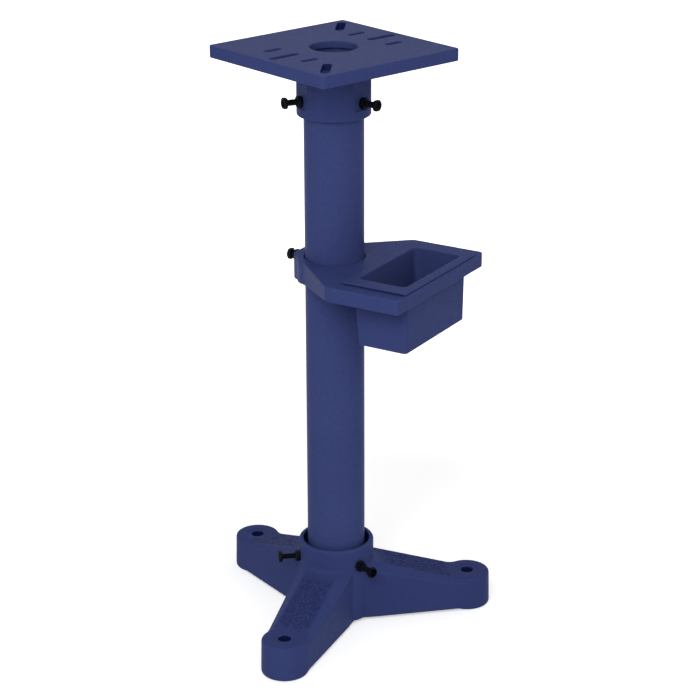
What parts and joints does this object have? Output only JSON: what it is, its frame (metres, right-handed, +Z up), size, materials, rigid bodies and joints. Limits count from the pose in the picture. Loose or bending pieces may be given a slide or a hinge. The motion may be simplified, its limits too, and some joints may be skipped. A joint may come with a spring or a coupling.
{
  "type": "bench grinder stand",
  "caption": "Pedestal stand for a bench grinder: tripod cast base, round column, slotted square head plate, and a sliding frame bracket with a lift-out water pot.",
  "frame": {"origin": "on the floor at the column's axis, which is the centre of the floor bolt circle", "axes": "+Z up along the column; the square head plate's edges run along X and Y; -Y is the side of the water pot"},
  "size_m": [0.3734, 0.3925, 0.78],
  "materials": {
    "painted_casting": "glossy dark blue enamel over rough cast iron",
    "painted_tube": "glossy dark blue enamel over smooth steel tube",
    "black_steel": "black oxide hex bolts and nuts"
  },
  "bodies": {
    "base": {"base_casting": "painted_casting"},
    "column": {"column_tube": "painted_tube"},
    "head": {"head_casting": "painted_casting"},
    "tray": {"tray_bracket": "painted_casting"},
    "pot": {"water_pot": "painted_casting"},
    "base_nut_1": {"base_nut_1": "black_steel"},
    "base_bolt_1": {"base_bolt_1": "black_steel"},
    "base_nut_2": {"base_nut_2": "black_steel"},
    "base_bolt_2": {"base_bolt_2": "black_steel"},
    "base_nut_3": {"base_nut_3": "black_steel"},
    "base_bolt_3": {"base_bolt_3": "black_steel"},
    "head_nut_1": {"head_nut_1": "black_steel"},
    "head_bolt_1": {"head_bolt_1": "black_steel"},
    "head_nut_2": {"head_nut_2": "black_steel"},
    "head_bolt_2": {"head_bolt_2": "black_steel"},
    "head_nut_3": {"head_nut_3": "black_steel"},
    "head_bolt_3": {"head_bolt_3": "black_steel"},
    "tray_nut": {"tray_nut": "black_steel"},
    "tray_bolt": {"tray_bolt": "black_steel"}
  },
  "joints": [
    {"name": "column_turn", "type": "hinge", "parent": "base", "child": "column", "pos_m": [0, 0, 0.012], "axis": [0, 0, 1], "continuous": true},
    {"name": "head_swivel", "type": "hinge", "parent": "column", "child": "head", "pos_m": [0, 0, 0.771], "axis": [0, 0, 1], "continuous": true},
    {"name": "tray_slide", "type": "slide", "parent": "column", "child": "tray", "axis": [0, 0, 1], "range_m": [-0.325, 0.108]},
    {"name": "pot_lift", "type": "slide", "parent": "tray", "child": "pot", "axis": [0, 0, 1], "range_m": [0, 0.085]},
    {"name": "base_bolt_1_advance", "type": "slide", "parent": "base", "child": "base_nut_1", "axis": [-0.8453, 0.5344, 0], "range_m": [0, 0.005]},
    {"name": "base_bolt_1_turn", "type": "hinge", "parent": "base_nut_1", "child": "base_bolt_1", "pos_m": [-0.04226, 0.02672, 0.086], "axis": [-0.8453, 0.5344, 0], "range_deg": [0, 1440]},
    {"name": "base_bolt_2_advance", "type": "slide", "parent": "base", "child": "base_nut_2", "axis": [-0.0401, -0.9992, 0], "range_m": [0, 0.005]},
    {"name": "base_bolt_2_turn", "type": "hinge", "parent": "base_nut_2", "child": "base_bolt_2", "pos_m": [-0.00201, -0.04996, 0.086], "axis": [-0.0401, -0.9992, 0], "range_deg": [0, 1440]},
    {"name": "base_bolt_3_advance", "type": "slide", "parent": "base", "child": "base_nut_3", "axis": [0.8854, 0.4648, 0], "range_m": [0, 0.005]},
    {"name": "base_bolt_3_turn", "type": "hinge", "parent": "base_nut_3", "child": "base_bolt_3", "pos_m": [0.04427, 0.02324, 0.086], "axis": [0.8854, 0.4648, 0], "range_deg": [0, 1440]},
    {"name": "head_bolt_1_advance", "type": "slide", "parent": "head", "child": "head_nut_1", "axis": [0.7349, 0.6782, 0], "range_m": [0, 0.005]},
    {"name": "head_bolt_1_turn", "type": "hinge", "parent": "head_nut_1", "child": "head_bolt_1", "pos_m": [0.03675, 0.03391, 0.715], "axis": [0.7349, 0.6782, 0], "range_deg": [0, 1440]},
    {"name": "head_bolt_2_advance", "type": "slide", "parent": "head", "child": "head_nut_2", "axis": [-0.9548, 0.2974, 0], "range_m": [0, 0.005]},
    {"name": "head_bolt_2_turn", "type": "hinge", "parent": "head_nut_2", "child": "head_bolt_2", "pos_m": [-0.04774, 0.01487, 0.715], "axis": [-0.9548, 0.2974, 0], "range_deg": [0, 1440]},
    {"name": "head_bolt_3_advance", "type": "slide", "parent": "head", "child": "head_nut_3", "axis": [0.2198, -0.9755, 0], "range_m": [0, 0.005]},
    {"name": "head_bolt_3_turn", "type": "hinge", "parent": "head_nut_3", "child": "head_bolt_3", "pos_m": [0.01099, -0.04878, 0.715], "axis": [0.2198, -0.9755, 0], "range_deg": [0, 1440]},
    {"name": "tray_bolt_advance", "type": "slide", "parent": "tray", "child": "tray_nut", "axis": [-0.309, 0.9511, 0], "range_m": [0, 0.005]},
    {"name": "tray_bolt_turn", "type": "hinge", "parent": "tray_nut", "child": "tray_bolt", "pos_m": [-0.01545, 0.04755, 0.5], "axis": [-0.309, 0.9511, 0], "range_deg": [0, 1440]}
  ],
  "couplings": [
    {"joint": "base_bolt_1_advance", "follows": "base_bolt_1_turn", "m_per_rad": 0.00019894},
    {"joint": "base_bolt_2_advance", "follows": "base_bolt_2_turn", "m_per_rad": 0.00019894},
    {"joint": "base_bolt_3_advance", "follows": "base_bolt_3_turn", "m_per_rad": 0.00019894},
    {"joint": "head_bolt_1_advance", "follows": "head_bolt_1_turn", "m_per_rad": 0.00019894},
    {"joint": "head_bolt_2_advance", "follows": "head_bolt_2_turn", "m_per_rad": 0.00019894},
    {"joint": "head_bolt_3_advance", "follows": "head_bolt_3_turn", "m_per_rad": 0.00019894},
    {"joint": "tray_bolt_advance", "follows": "tray_bolt_turn", "m_per_rad": 0.00019894}
  ]
}
